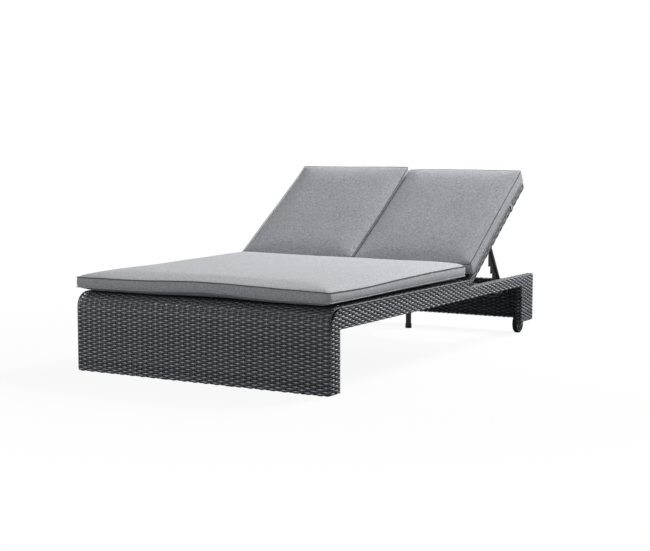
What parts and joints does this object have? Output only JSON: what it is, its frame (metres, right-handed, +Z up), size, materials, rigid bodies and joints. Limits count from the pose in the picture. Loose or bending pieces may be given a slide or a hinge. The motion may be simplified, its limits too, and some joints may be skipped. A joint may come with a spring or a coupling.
{
  "type": "double chaise lounger",
  "caption": "Low woven double sun lounger with one wide seat cushion, two separately tilting backrests on toothed props, and wheels at the head end.",
  "frame": {"origin": "on the floor, under the middle of the bounding box", "axes": "+X to the right side seen from the foot, +Y from the foot end to the head end, +Z up"},
  "size_m": [1.2036, 2.06, 0.8133],
  "materials": {
    "wicker": "flat woven resin strand, anthracite, satin",
    "frame_tube": "powder coated square tube inside the weave",
    "black_tube": "fine matt black powder coat",
    "ratchet_steel": "black powder coated sheet",
    "fastener_steel": "zinc plated",
    "black_plastic": "moulded",
    "wheel_plastic": "moulded grey hub",
    "tyre_rubber": "matt black",
    "seat_fabric": "heathered grey woven polyester",
    "back_fabric": "heathered grey woven polyester",
    "strap_fabric": "light grey webbing"
  },
  "bodies": {
    "root": {"front_panel_skin": "wicker", "front_panel_tubes": "frame_tube", "right_side_skin": "wicker", "left_side_skin": "wicker", "right_side_tubes": "frame_tube", "left_side_tubes": "frame_tube", "rear_panel_skin": "wicker", "rear_panel_tubes": "frame_tube", "seat_deck": "wicker", "seat_cross_tube_front": "black_tube", "seat_cross_tube_middle": "black_tube", "seat_cross_tube_rear": "black_tube", "hinge_cross_tube": "black_tube", "hinge_lugs": "black_tube", "hinge_pins": "fastener_steel", "ratchet_tube": "black_tube", "centre_beam": "black_tube", "middle_leg": "black_tube", "middle_leg_foot": "black_plastic", "floor_glides": "black_plastic", "seat_cushion": "seat_fabric", "right_wheel_bush": "black_plastic", "left_wheel_bush": "black_plastic", "right_wheel_fork": "ratchet_steel", "left_wheel_fork": "ratchet_steel", "right_wheel_axle": "fastener_steel", "left_wheel_axle": "fastener_steel", "wheel_fork_screws": "fastener_steel"},
    "right_back": {"right_back_outer_rail": "wicker", "right_back_inner_rail": "wicker", "right_back_lower_rail": "wicker", "right_back_upper_rail": "wicker", "right_back_tubes": "frame_tube", "right_back_mat": "wicker", "right_back_cross_tube_lower": "black_tube", "right_back_cross_tube_upper": "black_tube", "right_prop_bolts": "fastener_steel", "right_back_strap": "strap_fabric", "right_back_cushion": "back_fabric"},
    "right_prop": {"right_prop_tube": "black_tube", "right_ratchet_plates": "ratchet_steel"},
    "right_wheel": {"right_wheel_tyre": "tyre_rubber", "right_wheel_body": "wheel_plastic"},
    "left_back": {"left_back_outer_rail": "wicker", "left_back_inner_rail": "wicker", "left_back_lower_rail": "wicker", "left_back_upper_rail": "wicker", "left_back_tubes": "frame_tube", "left_back_mat": "wicker", "left_back_cross_tube_lower": "black_tube", "left_back_cross_tube_upper": "black_tube", "left_prop_bolts": "fastener_steel", "left_back_strap": "strap_fabric", "left_back_cushion": "back_fabric"},
    "left_prop": {"left_prop_tube": "black_tube", "left_ratchet_plates": "ratchet_steel"},
    "left_wheel": {"left_wheel_tyre": "tyre_rubber", "left_wheel_body": "wheel_plastic"}
  },
  "joints": [
    {"name": "right_back_recline", "type": "hinge", "parent": "root", "child": "right_back", "pos_m": [0.3, 0.255, 0.314], "axis": [1, 0, 0], "range_deg": [-34, 14]},
    {"name": "right_prop_swing", "type": "hinge", "parent": "right_back", "child": "right_prop", "pos_m": [0.3, 0.54351, 0.5086], "axis": [1, 0, 0], "range_deg": [-18.25, 44.25]},
    {"name": "right_wheel_spin", "type": "hinge", "parent": "root", "child": "right_wheel", "pos_m": [0.552, 0.951, 0.0475], "axis": [1, 0, 0], "continuous": true},
    {"name": "left_back_recline", "type": "hinge", "parent": "root", "child": "left_back", "pos_m": [-0.3, 0.255, 0.314], "axis": [1, 0, 0], "range_deg": [-34, 14]},
    {"name": "left_prop_swing", "type": "hinge", "parent": "left_back", "child": "left_prop", "pos_m": [-0.3, 0.54351, 0.5086], "axis": [1, 0, 0], "range_deg": [-18.25, 44.25]},
    {"name": "left_wheel_spin", "type": "hinge", "parent": "root", "child": "left_wheel", "pos_m": [-0.552, 0.951, 0.0475], "axis": [1, 0, 0], "continuous": true}
  ],
  "couplings": [
    {"joint": "right_prop_swing", "follows": "right_back_recline", "ratio": -1.3},
    {"joint": "left_prop_swing", "follows": "left_back_recline", "ratio": -1.3}
  ]
}
